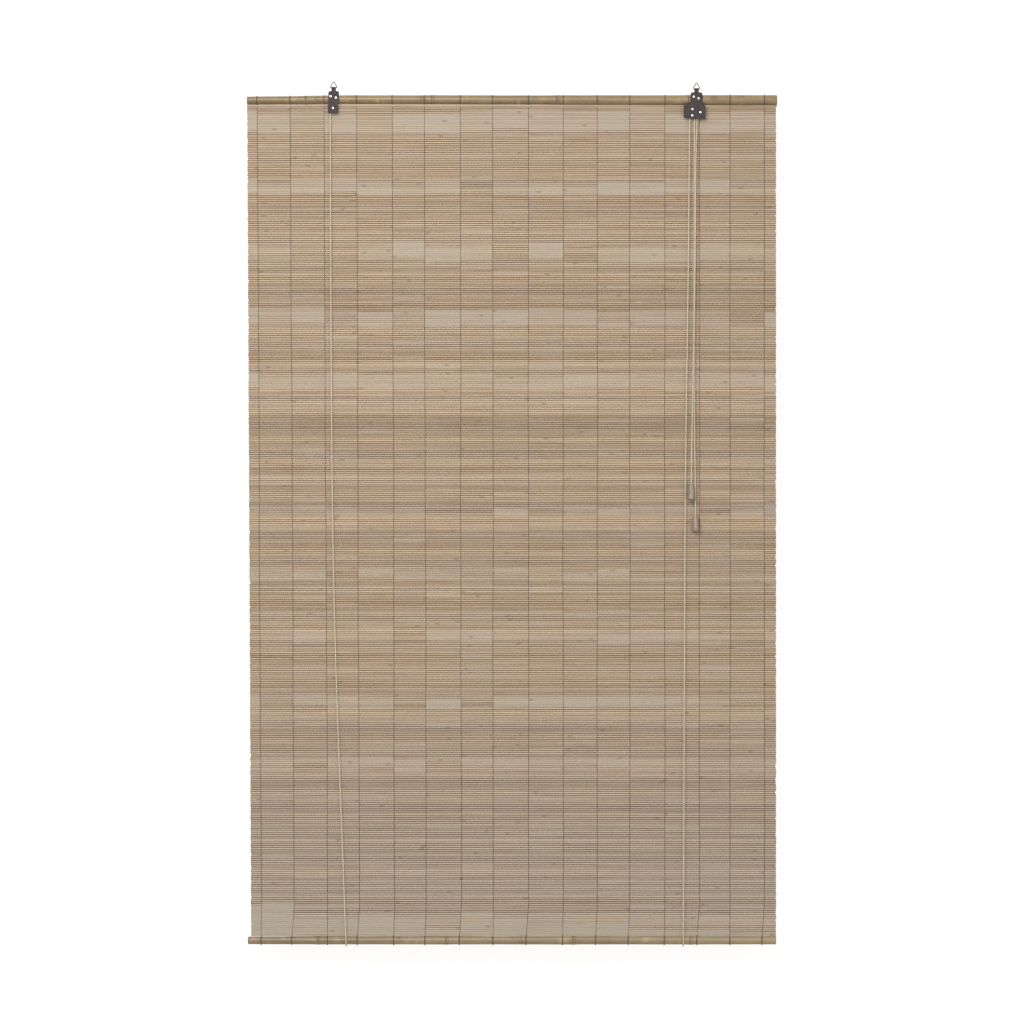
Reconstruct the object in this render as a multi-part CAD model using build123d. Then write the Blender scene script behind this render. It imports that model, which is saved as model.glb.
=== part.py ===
from build123d import *
import math
import os

os.makedirs("parts", exist_ok=True)

# Bamboo roll up blind, hanging from two rings.
# Millimetres. X runs along the blind to the right, Y points away from the room, Z is up.
# The origin is on the line through the tops of the hanging rings, at mid width, in the mat's plane.

# ---- overall sizes
WIDTH = 1000.0
HEAD_RAIL_Z = -34.5
MAT_TOP_Z = -47.0
MAT_HEIGHT = 1564.6

# ---- split bamboo slats
SLAT_COUNT = 384
SLAT_PITCH = MAT_HEIGHT / SLAT_COUNT
SLAT_GAP = 0.38
SLAT_HEIGHT = SLAT_PITCH - SLAT_GAP
SLAT_THICKNESS = 1.4
SLAT_CROWN = 0.35
SLAT_BEVEL = 0.75
# Slats in the strip that stays under the head rail, then in each strip of the mat below it, downwards.
TOP_STRIP_SLATS = 12
STRIP_SLATS = (8, 10, 8, 8, 18, 6, 20, 20, 19, 7, 6, 17, 8, 8, 7, 13, 8,
               8, 13, 7, 18, 14, 8, 17, 14, 19, 7, 16, 7, 16, 10, 7)

# ---- first slat, under the head rail
HEADER_GAP = 0.35
HEADER_CUTS = ((-329.2, -324.8), (348.2, 354.6))

# ---- poles
HEAD_RADII = ((-1.0, 7.6), (-0.55, 8.3), (0.0, 8.5), (0.6, 9.4), (1.0, 9.9))
HEAD_NODES_X = (-389.5, -151.0, 84.0, 333.0)
BOTTOM_RADII = ((-1.0, 7.9), (0.0, 8.0), (1.0, 7.8))
BOTTOM_NODES_X = (-366.0, -124.5, 115.0, 336.0)
BOTTOM_POLE_LENGTH = WIDTH - 4.0
NODE_RISE = 0.45
NODE_WIDTH = 7.0
POLE_END_ROUND = 2.2
BOTTOM_RAIL_GAP = 1.3
BOTTOM_RAIL_Z = MAT_TOP_Z - MAT_HEIGHT - BOTTOM_RAIL_GAP - 8.0

# ---- warp threads
THREAD_DIAMETER = 0.6
THREAD_CLEARANCE = 0.05
THREADS_X = (-480.7, -418.4, -354.5, -293.2, -225.9, -165.3, -97.6, -36.6,
             30.9, 96.6, 160.9, 222.1, 288.3, 353.6, 411.4, 476.2)
WRAP_WIRE = 0.9
WRAP_CLEARANCE = 0.08

# ---- hanger plates
PLATE_THICKNESS = 1.2
PLATE_GAP = 0.3
NECK_WIDTH = 8.4
EYE_OUTER_RADIUS = 1.8
EYE_BORE_RADIUS = 0.9

# ---- hanging rings
RING_WIRE = 1.6
RING_HALF_WIDTH = 6.9
RING_HEIGHT = 11.4
RING_CORNER = 1.4
RING_APEX_RISE = 1.575

# ---- left bracket
LEFT_X = -336.0
LEFT_RING_TOP_Z = 0.0
LEFT_PLATE_BOTTOM_Z = -60.2
LEFT_SHEAVE_X = -337.4
LEFT_SCREWS = ((-341.5, -28.3), (-331.5, -30.8))

# ---- right bracket and cord lock
RIGHT_X = 347.7
RIGHT_RING_TOP_Z = -2.6
LOCK_LEFT_X = 324.0
LOCK_RIGHT_X = 364.0
LOCK_TOP_Z = -46.4
LOCK_BOTTOM_Z = -71.0
LOCK_DEPTH = 6.5
LOCK_BACK_THICKNESS = 1.0
SHEAVE_A = (340.0, -52.6)
SHEAVE_B = (355.2, -58.5)
CAM_PIVOT = (339.6, -64.4)
CAM_RADIUS = 2.9
CAM_OFFSET = 0.5
RIGHT_SCREWS = ((342.5, -28.9), (351.7, -32.3))

# ---- sheaves, axles and screws
SHEAVE_RADIUS = 5.0
SHEAVE_WIDTH = 3.2
SHEAVE_GROOVE = 1.1
GROOVE_HALF_WIDTH = 1.15
AXLE_RADIUS = 1.25
AXLE_CLEARANCE = 0.06
HEAD_RADIUS = 2.1
HEAD_HEIGHT = 1.1
SCREW_RADIUS = 1.0
SCREW_LENGTH = 7.0
HOLE_CLEARANCE = 0.04

# ---- cords and tassels
CORD_DIAMETER = 2.1
CORD_CLEARANCE = 0.55
CORD_END_GAP = 0.3
CORD_Y = -6.4
CROSS_Y = 15.0
CROSS_Z = -45.1
TASSEL_HEIGHT = 27.0
TASSEL_TOP_RADIUS = 5.0
TASSEL_BOTTOM_RADIUS = 7.6
TASSEL_BORE = 1.45
TASSEL_POCKET_RADIUS = 3.2
TASSEL_POCKET_DEPTH = 6.0
KNOT_RADIUS = 2.3
TACK_RADIUS = 0.8
TACK_HEAD_RADIUS = 2.4

HALF = WIDTH / 2


def save(solids, name):
    if isinstance(solids, (list, tuple)):
        shape = Compound(children=list(solids))
    else:
        shape = solids
    export_step(shape, "parts/" + name + ".step")


def radius_at(table, half, x):
    u = x / half
    for (u0, r0), (u1, r1) in zip(table, table[1:]):
        if u <= u1:
            return r0 + (r1 - r0) * (u - u0) / (u1 - u0)
    return table[-1][1]


def pole_radius(table, half, nodes, x):
    r = radius_at(table, half, x)
    for n in nodes:
        d = abs(x - n)
        if d < NODE_WIDTH:
            r += NODE_RISE * (1 - d / NODE_WIDTH)
    return r


def pole(length, table, nodes, z):
    # A culm turned about X: a slow taper, a low ridge at each culm joint, and rounded ends.
    half = length / 2
    stations = {-half + POLE_END_ROUND, half - POLE_END_ROUND}
    for u, r in table[1:-1]:
        stations.add(u * half)
    for n in nodes:
        stations.update((n - NODE_WIDTH, n, n + NODE_WIDTH))
    points = [(-half, 0.0)]
    points.append((-half, radius_at(table, half, -half) - POLE_END_ROUND))
    for x in sorted(stations):
        points.append((x, pole_radius(table, half, nodes, x)))
    points.append((half, radius_at(table, half, half) - POLE_END_ROUND))
    points.append((half, 0.0))
    face = make_face(Polyline(*points, close=True))
    solid = revolve(face, Axis.X, 360)
    return Pos(0, 0, z) * solid


def head_radius(x):
    return pole_radius(HEAD_RADII, HALF, HEAD_NODES_X, x)


def bottom_radius(x):
    return pole_radius(BOTTOM_RADII, BOTTOM_POLE_LENGTH / 2, BOTTOM_NODES_X, x)


def slat(z):
    # Split bamboo: flat inner face at the back, crowned skin face at the front.
    h = SLAT_HEIGHT / 2
    back = SLAT_THICKNESS / 2
    front = -SLAT_THICKNESS / 2
    points = [(back, -h), (back, h), (front + SLAT_CROWN, h), (front, h - SLAT_BEVEL),
              (front, SLAT_BEVEL - h), (front + SLAT_CROWN, -h)]
    section = Plane.YZ * make_face(Polyline(*points, close=True))
    return Pos(-HALF, 0, z) * extrude(section, WIDTH)


def strip(count, top_z):
    return [slat(top_z - SLAT_PITCH * (i + 0.5)) for i in range(count)]


def rod(x0, y0, z0, x1, y1, z1, radius):
    start = Vector(x0, y0, z0)
    path = Vector(x1, y1, z1) - start
    plane = Plane(origin=start, z_dir=path)
    return extrude(plane * Circle(radius), path.length)


def ring_around(x, z, inner_radius, wire):
    major = inner_radius + wire / 2
    return Pos(x, 0, z) * Rot(0, 90, 0) * Torus(major, wire / 2)


def route(points, radius_share=0.45):
    # Straight runs joined by tangent arcs, each as wide as its shorter neighbour allows.
    radii = []
    for a, b, c in zip(points, points[1:], points[2:]):
        u = Vector(*b) - Vector(*a)
        v = Vector(*c) - Vector(*b)
        turn = math.radians(u.get_angle(v))
        radii.append(radius_share * min(u.length, v.length) / math.tan(turn / 2))
    return radii


def cord(points, name, radii=None):
    if radii is None:
        radii = route(points)
    if len(points) > 2:
        path = FilletPolyline(*points, radius=radii)
    else:
        path = Line(*points)
    length = path.length
    plane = Plane(origin=path @ 0, z_dir=path % 0)
    solid = sweep(plane * Circle(CORD_DIAMETER / 2), path=path)
    area = math.pi * CORD_DIAMETER ** 2 / 4
    share = solid.volume / (area * length)
    print(name, "length", round(length, 1), "volume share", round(share, 4),
          "radii", [round(r, 1) for r in radii])
    return solid


# ---------------------------------------------------------------- derived places
left_back_y = -(head_radius(LEFT_X) + PLATE_GAP)
right_back_y = -(head_radius(THREADS_X[13]) + WRAP_CLEARANCE + WRAP_WIRE + 0.12)
left_plate_y = left_back_y - PLATE_THICKNESS / 2
right_plate_y = right_back_y - PLATE_THICKNESS / 2
cord_run = SHEAVE_RADIUS - SHEAVE_GROOVE + CORD_DIAMETER / 2 + 0.05
LEFT_SHEAVE_Z = CROSS_Z - cord_run
left_eye_z = LEFT_RING_TOP_Z - RING_WIRE / 2 - RING_HEIGHT
right_eye_z = RIGHT_RING_TOP_Z - RING_WIRE / 2 - RING_HEIGHT
lock_back_y = right_back_y + LOCK_DEPTH
lock_y = right_back_y + LOCK_DEPTH / 2


def bar_y(x, z, y0, y1, radius):
    return rod(x, y0, z, x, y1, z, radius)


# ---------------------------------------------------------------- poles
head_rail = pole(WIDTH, HEAD_RADII, HEAD_NODES_X, HEAD_RAIL_Z)
screw_places = [(s, left_plate_y) for s in LEFT_SCREWS] + [(s, right_plate_y) for s in RIGHT_SCREWS]
for (sx, sz), plate_y in screw_places:
    tip = plate_y - PLATE_THICKNESS / 2 + SCREW_LENGTH + 2.2
    head_rail = head_rail - bar_y(sx, sz, plate_y, tip, SCREW_RADIUS + HOLE_CLEARANCE)
TACKS_X = (-338.5, 331.0)
for tx in TACKS_X:
    r = head_radius(tx)
    head_rail = head_rail - bar_y(tx, HEAD_RAIL_Z, r - 5.2, r + 2.0, TACK_RADIUS + HOLE_CLEARANCE)
save(head_rail, "head_rail")
save(pole(BOTTOM_POLE_LENGTH, BOTTOM_RADII, BOTTOM_NODES_X, BOTTOM_RAIL_Z), "bottom_rail")

# ---------------------------------------------------------------- slats, strip by strip
def header_slats():
    # The first slat is trimmed to the underside of the head rail, notched round each wrap, and parted
    # where the lift cord passes from front to back.
    low = MAT_TOP_Z + SLAT_GAP / 2
    stations = [(-HALF, 0.0), (HALF, 0.0)]
    for u, r in HEAD_RADII[1:-1]:
        stations.append((u * HALF, 0.0))
    for n in HEAD_NODES_X:
        stations += [(n - NODE_WIDTH, 0.0), (n, 0.0), (n + NODE_WIDTH, 0.0)]
    for x in THREADS_X:
        notch = WRAP_CLEARANCE + WRAP_WIRE
        stations += [(x - WRAP_WIRE, 0.0), (x - WRAP_WIRE + 0.01, notch)]
        stations += [(x + WRAP_WIRE - 0.01, notch), (x + WRAP_WIRE, 0.0)]
    outline = [(HALF, SLAT_THICKNESS / 2, low), (-HALF, SLAT_THICKNESS / 2, low)]
    for x, notch in sorted(stations):
        outline.append((x, SLAT_THICKNESS / 2, HEAD_RAIL_Z - head_radius(x) - notch - HEADER_GAP))
    slab = extrude(make_face(Polyline(*outline, close=True)), SLAT_THICKNESS, dir=(0, -1, 0))
    for x0, x1 in HEADER_CUTS:
        slab = slab - Pos((x0 + x1) / 2, 0, low) * Box(x1 - x0, 10, 30)
    return list(slab.solids())


save(strip(TOP_STRIP_SLATS, MAT_TOP_Z) + header_slats(), "slats_top")
strip_top = MAT_TOP_Z - TOP_STRIP_SLATS * SLAT_PITCH
for number, count in enumerate(STRIP_SLATS, 1):
    save(strip(count, strip_top), "slats_%02d" % number)
    strip_top -= count * SLAT_PITCH

# ---------------------------------------------------------------- warp threads and their wraps
thread_y = SLAT_THICKNESS / 2 + THREAD_CLEARANCE + THREAD_DIAMETER / 2
bottom_end = MAT_TOP_Z - MAT_HEIGHT
threads = []
head_wraps = []
bottom_wraps = []
for x in THREADS_X:
    wrap_radius = head_radius(x) + WRAP_CLEARANCE + WRAP_WIRE
    top = HEAD_RAIL_Z - math.sqrt(wrap_radius ** 2 - (thread_y + THREAD_DIAMETER / 2) ** 2) - 0.2
    for y in (-thread_y, thread_y):
        threads.append(rod(x, y, top, x, y, bottom_end - 0.1, THREAD_DIAMETER / 2))
    head_wraps.append(ring_around(x, HEAD_RAIL_Z, head_radius(x) + WRAP_CLEARANCE, WRAP_WIRE))
    bottom_wraps.append(ring_around(x, BOTTOM_RAIL_Z, bottom_radius(x) + WRAP_CLEARANCE, WRAP_WIRE))
save(threads, "warp_threads")
save(head_wraps, "head_rail_thread_wraps")
save(bottom_wraps, "bottom_rail_thread_wraps")


# ---------------------------------------------------------------- hanger plates
def flat_plate(points, back_y, thickness):
    # An outline in X and Z, cut from sheet whose back face stands at back_y.
    face = make_face(Polyline(*[(x, back_y, z) for x, z in points], close=True))
    return extrude(face, thickness, dir=(0, -1, 0))


def eye(x, y, z):
    # The neck is rolled round the ring's base wire.
    tube = Pos(x, y, z) * Rot(0, 90, 0) * Cylinder(EYE_OUTER_RADIUS, NECK_WIDTH)
    return tube


def bore_eye(solid, x, y, z):
    return solid - Pos(x, y, z) * Rot(0, 90, 0) * Cylinder(EYE_BORE_RADIUS, NECK_WIDTH + 2)


n = NECK_WIDTH / 2
lp = flat_plate([(LEFT_X - n, left_eye_z), (LEFT_X + n, left_eye_z), (LEFT_X + n, -18.0),
                 (LEFT_X + 9.0, -19.0), (LEFT_X + 10.0, -20.5), (LEFT_X + 10.0, -39.0), (LEFT_X + 8.2, -40.5),
                 (LEFT_X + 8.2, LEFT_PLATE_BOTTOM_Z + 2.5), (LEFT_X + 6.5, LEFT_PLATE_BOTTOM_Z),
                 (LEFT_X - 9.4, LEFT_PLATE_BOTTOM_Z), (LEFT_X - 11.0, LEFT_PLATE_BOTTOM_Z + 2.5),
                 (LEFT_X - 11.0, -40.5), (LEFT_X - 10.0, -39.0), (LEFT_X - 10.0, -20.5),
                 (LEFT_X - 9.0, -19.0), (LEFT_X - n, -18.0)], left_back_y, PLATE_THICKNESS)
lp = lp + eye(LEFT_X, left_plate_y, left_eye_z)
lp = bore_eye(lp, LEFT_X, left_plate_y, left_eye_z)
for sx, sz in LEFT_SCREWS:
    lp = lp - bar_y(sx, sz, left_plate_y - 2, left_plate_y + 2, SCREW_RADIUS + HOLE_CLEARANCE)
axle_hole = AXLE_RADIUS + HOLE_CLEARANCE
lp = lp - bar_y(LEFT_SHEAVE_X, LEFT_SHEAVE_Z, left_plate_y - 2, left_plate_y + 2, axle_hole)
save(lp, "left_hanger_plate")

rp = flat_plate([(RIGHT_X - n, right_eye_z), (RIGHT_X + n, right_eye_z), (RIGHT_X + n, -20.5),
                 (RIGHT_X + 9.9, -21.5), (RIGHT_X + 10.9, -23.0), (RIGHT_X + 10.9, -43.0),
                 (LOCK_RIGHT_X - 1.5, -46.0), (LOCK_RIGHT_X, -48.0), (LOCK_RIGHT_X, LOCK_BOTTOM_Z),
                 (RIGHT_X - 4.0, LOCK_BOTTOM_Z), (LOCK_LEFT_X, LOCK_BOTTOM_Z + 2.6),
                 (LOCK_LEFT_X, -43.6), (LOCK_LEFT_X + 1.5, -42.0), (RIGHT_X - 10.9, -42.0),
                 (RIGHT_X - 10.9, -23.0), (RIGHT_X - 9.9, -21.5), (RIGHT_X - n, -20.5)],
                right_back_y, PLATE_THICKNESS)
rp = rp + eye(RIGHT_X, right_plate_y, right_eye_z)
rp = bore_eye(rp, RIGHT_X, right_plate_y, right_eye_z)
for side in (LOCK_LEFT_X + PLATE_THICKNESS / 2, LOCK_RIGHT_X - PLATE_THICKNESS / 2):
    low = LOCK_BOTTOM_Z + 3.0
    height = LOCK_TOP_Z - 2.0 - low
    depth = LOCK_DEPTH + PLATE_THICKNESS - 0.02
    flange = Box(PLATE_THICKNESS, depth, height)
    rp = rp + Pos(side, right_back_y - PLATE_THICKNESS + depth / 2, low + height / 2) * flange
for sx, sz in RIGHT_SCREWS:
    rp = rp - bar_y(sx, sz, right_plate_y - 2, right_plate_y + 2, SCREW_RADIUS + HOLE_CLEARANCE)
for sx, sz in (SHEAVE_A, SHEAVE_B, CAM_PIVOT):
    rp = rp - bar_y(sx, sz, right_plate_y - 2, right_plate_y + 2, axle_hole)
save(rp, "right_hanger_plate")

lb = flat_plate([(LOCK_LEFT_X, LOCK_TOP_Z), (LOCK_RIGHT_X, LOCK_TOP_Z), (LOCK_RIGHT_X, LOCK_BOTTOM_Z + 1.0),
                 (LOCK_LEFT_X, LOCK_BOTTOM_Z + 3.0)], lock_back_y + LOCK_BACK_THICKNESS, LOCK_BACK_THICKNESS)
for sx, sz in (SHEAVE_A, SHEAVE_B, CAM_PIVOT):
    lb = lb - bar_y(sx, sz, lock_back_y - 2, lock_back_y + 3, axle_hole)
save(lb, "lock_back_plate")


# ---------------------------------------------------------------- rings
def hanging_ring(x, y, base_z):
    h = RING_HALF_WIDTH
    corners = [(x - h, y, base_z), (x + h, y, base_z), (x, y, base_z + RING_HEIGHT + RING_APEX_RISE)]
    path = FilletPolyline(*corners, radius=RING_CORNER, close=True)
    start = path @ 0
    plane = Plane(origin=start, z_dir=path % 0)
    return sweep(plane * Circle(RING_WIRE / 2), path=path)


save(hanging_ring(LEFT_X, left_plate_y, left_eye_z), "left_ring")
save(hanging_ring(RIGHT_X, right_plate_y, right_eye_z), "right_ring")


# ---------------------------------------------------------------- sheaves, axles and screws
def sheave(x, y, z):
    r = SHEAVE_RADIUS
    bore = AXLE_RADIUS + AXLE_CLEARANCE
    w = SHEAVE_WIDTH / 2
    g = GROOVE_HALF_WIDTH
    section = Polyline((bore, -w), (r, -w), (r, -g), (r - SHEAVE_GROOVE, -g), (r - SHEAVE_GROOVE, g),
                       (r, g), (r, w), (bore, w), close=True)
    solid = revolve(Plane.XZ * make_face(section), Axis.Z, 360)
    return Pos(x, y, z) * Rot(90, 0, 0) * solid


def domed(x, z, front_y, shank_y, radius):
    # Dome head on the plate's front face at front_y, plain shank back to shank_y.
    points = [(0, 0), (HEAD_RADIUS, 0), (HEAD_RADIUS, 0.35), (HEAD_RADIUS * 0.72, 0.85), (0, HEAD_HEIGHT)]
    head = revolve(Plane.XZ * make_face(Polyline(*points, close=True)), Axis.Z, 360)
    head = Pos(x, front_y, z) * Rot(90, 0, 0) * head
    return head + bar_y(x, z, front_y, shank_y, radius)


lf = left_back_y - PLATE_THICKNESS
rf = right_back_y - PLATE_THICKNESS
save(sheave(LEFT_SHEAVE_X, CORD_Y, LEFT_SHEAVE_Z), "left_sheave")
save(sheave(SHEAVE_A[0], lock_y, SHEAVE_A[1]), "lock_sheave_upper")
save(sheave(SHEAVE_B[0], lock_y, SHEAVE_B[1]), "lock_sheave_lower")
left_axle_end = CORD_Y + SHEAVE_WIDTH / 2 + 0.3
axle = domed(LEFT_SHEAVE_X, LEFT_SHEAVE_Z, lf, left_axle_end, AXLE_RADIUS)
axle = axle + bar_y(LEFT_SHEAVE_X, LEFT_SHEAVE_Z, left_axle_end, left_axle_end + 0.9, HEAD_RADIUS)
pins = [axle]
for sx, sz in (SHEAVE_A, SHEAVE_B, CAM_PIVOT):
    pins.append(domed(sx, sz, rf, lock_back_y + LOCK_BACK_THICKNESS, AXLE_RADIUS))
save(pins, "sheave_axles")
screws = [domed(sx, sz, lf, lf + SCREW_LENGTH + 2.0, SCREW_RADIUS) for sx, sz in LEFT_SCREWS]
screws += [domed(sx, sz, rf, rf + SCREW_LENGTH + 2.0, SCREW_RADIUS) for sx, sz in RIGHT_SCREWS]
save(screws, "plate_screws")

cam = Cylinder(CAM_RADIUS, SHEAVE_WIDTH)
cam = Pos(-CAM_OFFSET, 0, 0) * cam - Cylinder(AXLE_RADIUS + AXLE_CLEARANCE, 10)
cam = Pos(CAM_PIVOT[0], lock_y, CAM_PIVOT[1]) * Rot(90, 0, 0) * cam
save(cam, "lock_cam")


# ---------------------------------------------------------------- lift cords
loop_y = 8.0 + CORD_CLEARANCE + CORD_DIAMETER / 2
loop_top = BOTTOM_RAIL_Z + 0.6
loop_low = BOTTOM_RAIL_Z - loop_y
LEFT_LOOP_X = -313.0
RIGHT_LOOP_X = 322.9
loops = []
for side, x in (("left", LEFT_LOOP_X), ("right", RIGHT_LOOP_X)):
    points = [(x, -loop_y, loop_top), (x, -loop_y, loop_low), (x, loop_y, loop_low), (x, loop_y, loop_top)]
    loops.append(cord(points, side + "_cord_loop", [loop_y * 0.98, loop_y * 0.98]))
save(loops, "cord_loops")

top = loop_top + CORD_END_GAP
left_front = [(LEFT_SHEAVE_X - cord_run, CORD_Y, LEFT_SHEAVE_Z), (-341.5, -6.9, -506.0),
              (-336.4, -7.6, -1000.0), (-317.6, -8.7, -1491.0), (LEFT_LOOP_X, -loop_y, top)]
save(cord(left_front, "left_lift_cord_front"), "left_lift_cord_front")
right_front = [(SHEAVE_A[0] - cord_run, lock_y, SHEAVE_A[1]), (332.9, -7.5, -338.0), (326.5, -7.9, -732.0),
               (324.6, -8.4, -1200.0), (RIGHT_LOOP_X, -loop_y, top)]
save(cord(right_front, "right_lift_cord_front"), "right_lift_cord_front")


def anchored(name, x, points):
    # The back strand ends in a knot that a tack holds to the back of the head rail.
    r = head_radius(x)
    y = r + 0.15 + KNOT_RADIUS
    strand = cord([(x, y, HEAD_RAIL_Z - 1.0)] + points, name)
    strand = strand + Pos(x, y, HEAD_RAIL_Z) * Sphere(KNOT_RADIUS)
    strand = strand - bar_y(x, HEAD_RAIL_Z, r - 6, y + 6, TACK_RADIUS + HOLE_CLEARANCE)
    return strand


left_back = [(-333.0, loop_y + 0.4, -900.0), (LEFT_LOOP_X, loop_y, top)]
save(anchored("left_lift_cord_back", TACKS_X[0], left_back), "left_lift_cord_back")
right_back = [(328.0, loop_y + 0.8, -900.0), (RIGHT_LOOP_X, loop_y, top)]
save(anchored("right_lift_cord_back", TACKS_X[1], right_back), "right_lift_cord_back")
tacks = []
for tx in TACKS_X:
    r = head_radius(tx)
    y = r + 0.15 + 2 * KNOT_RADIUS
    tack = bar_y(tx, HEAD_RAIL_Z, r - 5.0, y, TACK_RADIUS)
    tacks.append(tack + bar_y(tx, HEAD_RAIL_Z, y, y + 0.8, TACK_HEAD_RADIUS))
save(tacks, "cord_tacks")

# The left cord turns over its sheave, passes under the head rail to the back, and crosses to the lock.
lx = LEFT_SHEAVE_X - cord_run
cross = [(lx, CORD_Y, LEFT_SHEAVE_Z + CORD_END_GAP), (lx, CORD_Y, CROSS_Z), (-327.0, CORD_Y, CROSS_Z),
         (-327.0, CROSS_Y, CROSS_Z), (SHEAVE_B[0] - cord_run, CROSS_Y, CROSS_Z),
         (SHEAVE_B[0] - cord_run, lock_y, CROSS_Z), (SHEAVE_B[0] - cord_run, lock_y, SHEAVE_B[1])]
cross_radii = [cord_run - CORD_END_GAP - 0.01, 4.5, 8.0, 8.0, 3.0]
save(cord(cross, "cross_cord", cross_radii), "cross_cord")

# ---------------------------------------------------------------- pull cords and tassels
TASSEL_1 = (337.9, -13.0, -761.0)
TASSEL_2 = (345.9, -9.2, -820.0)


def pull_cord(name, start, via, tassel, first_radii):
    tx, ty, tz = tassel
    knot_z = tz - TASSEL_HEIGHT + TASSEL_POCKET_DEPTH - KNOT_RADIUS - 0.2
    points = start + via + [(tx, ty, tz + 30.0), (tx, ty, knot_z)]
    strand = cord(points, name, first_radii + route(points)[len(first_radii):])
    return strand + Pos(tx, ty, knot_z) * Sphere(KNOT_RADIUS)


def tassel(x, y, z):
    body = Pos(x, y, z - TASSEL_HEIGHT / 2) * Cone(TASSEL_BOTTOM_RADIUS, TASSEL_TOP_RADIUS, TASSEL_HEIGHT)
    body = body - Pos(x, y, z - TASSEL_HEIGHT / 2) * Cylinder(TASSEL_BORE, TASSEL_HEIGHT + 2)
    pocket = Cylinder(TASSEL_POCKET_RADIUS, TASSEL_POCKET_DEPTH)
    return body - Pos(x, y, z - TASSEL_HEIGHT + TASSEL_POCKET_DEPTH / 2) * pocket


bx = SHEAVE_B[0] - cord_run
start = [(bx, lock_y, SHEAVE_B[1] - CORD_END_GAP)]
via = [(bx, lock_y, -75.0), (346.0, -10.8, -330.0), (339.4, -12.4, -640.0)]
save(pull_cord("pull_cord_1", start, via, TASSEL_1, []), "pull_cord_1")
ax = SHEAVE_A[0]
az = SHEAVE_A[1]
start = [(ax - cord_run, lock_y, az + CORD_END_GAP), (ax - cord_run, lock_y, az + cord_run),
         (ax + cord_run, lock_y, az + cord_run), (ax + cord_run, lock_y, -76.0)]
save(pull_cord("pull_cord_2", start, [(343.2, -7.7, -420.0), (343.7, -8.4, -640.0)], TASSEL_2,
               [cord_run - CORD_END_GAP - 0.01, cord_run * 0.98]), "pull_cord_2")
save(tassel(*TASSEL_1), "tassel_1")
save(tassel(*TASSEL_2), "tassel_2")
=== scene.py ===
"""Bamboo roll up blind: split bamboo slats woven on warp threads between two bamboo poles."""

import math
import random

import bpy
import numpy as np
from bpy.props import FloatProperty, FloatVectorProperty, IntProperty, PointerProperty
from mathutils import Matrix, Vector


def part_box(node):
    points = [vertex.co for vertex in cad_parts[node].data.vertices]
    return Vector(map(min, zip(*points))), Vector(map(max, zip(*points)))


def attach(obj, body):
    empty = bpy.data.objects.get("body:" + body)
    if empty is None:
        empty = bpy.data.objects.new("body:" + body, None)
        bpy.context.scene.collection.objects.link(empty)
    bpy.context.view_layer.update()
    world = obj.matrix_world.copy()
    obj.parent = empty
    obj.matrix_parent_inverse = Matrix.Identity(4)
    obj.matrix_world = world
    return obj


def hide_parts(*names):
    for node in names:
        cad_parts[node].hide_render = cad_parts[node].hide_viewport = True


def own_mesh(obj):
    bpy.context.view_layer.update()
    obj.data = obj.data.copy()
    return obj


bl_info = {
    "name": "Bamboo roll up blind",
    "version": (1, 0, 0),
    "blender": (4, 5, 0),
    "location": "3D View > Sidebar > Blind",
    "description": "Builds a bamboo roll up blind piece by piece around its packed frame",
    "category": "Object",
}

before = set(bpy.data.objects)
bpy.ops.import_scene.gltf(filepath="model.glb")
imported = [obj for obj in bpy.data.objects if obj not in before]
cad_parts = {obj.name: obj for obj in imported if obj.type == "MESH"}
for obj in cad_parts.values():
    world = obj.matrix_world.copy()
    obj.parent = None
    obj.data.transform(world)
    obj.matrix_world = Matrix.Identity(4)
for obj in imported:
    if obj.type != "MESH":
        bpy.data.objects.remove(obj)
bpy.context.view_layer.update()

MM = 0.001
SEED = 41
POLE_LENGTH = 1.0
HALF_WIDTH = POLE_LENGTH / 2
HEAD_Z = -0.0345
RAIL_Z = -1.6209
MAT_TOP = -0.047
SLATS = 384
STRIPS = 32
PITCH = 1.5646 / SLATS
SLAT_HALF_DEPTH = 0.7 * MM
SLAT_SIDES = 9
# How far the left ends slant in from top to bottom, and how short the right ends stop.
LEFT_SLANT = 7.5 * MM
RIGHT_INSET = 1.5 * MM
# In millimetres: how far warps drift to the right at the lower left, and lean just above the rail.
WARP_DRIFT = 8.5
WARP_LEAN = 5.0
LEAN_HEIGHT = 0.07
# Stretches of the header slat, parted where the lift cord passes from front to back.
HEADER_PARTS = ((-0.500, -0.3324), (-0.3280, 0.3482), (0.3546, 0.500))
WARPS = [x * MM for x in (-480.7, -418.4, -354.5, -293.2, -225.9, -165.3, -97.6, -36.6,
                          30.9, 96.6, 160.9, 222.1, 288.3, 353.6, 411.4, 476.2)]
# Radii and bows in millimetres, from the left end of a pole at -1 to its right end at 1, and its joints.
HEAD_RADII = ((-1.0, 7.6), (-0.55, 8.3), (0.0, 8.5), (0.6, 9.4), (1.0, 9.9))
HEAD_JOINTS = (-389.5, -151.0, 84.0, 333.0)
HEAD_BOW = ((-1.0, -0.4), (-0.80, 0.3), (-0.68, 1.3), (-0.3, 1.2), (0.3, 0.5), (1.0, 0.2))
RAIL_RADII = ((-1.0, 7.6), (-0.76, 7.6), (-0.72, 8.0), (0.0, 8.0), (1.0, 7.8))
RAIL_JOINTS = (-366.0, -124.5, 115.0, 336.0)
RAIL_BOW = ((-1.0, 1.3), (1.0, 1.3))
JOINT_SWELL = 0.45
JOINT_REACH = 7.0
TASSEL_SIDES = 40
FLOOR_Z = -1.86
# Rows of slats that lie closed and bleached: top and bottom of each row.
PALE_ROWS = [(a * MM, b * MM) for a, b in (
    (-57, -91), (-185, -211), (-308, -336), (-430, -459), (-553, -577), (-802, -812),
    (-925, -940), (-1038, -1057), (-1161, -1181), (-1279, -1298))]
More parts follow.
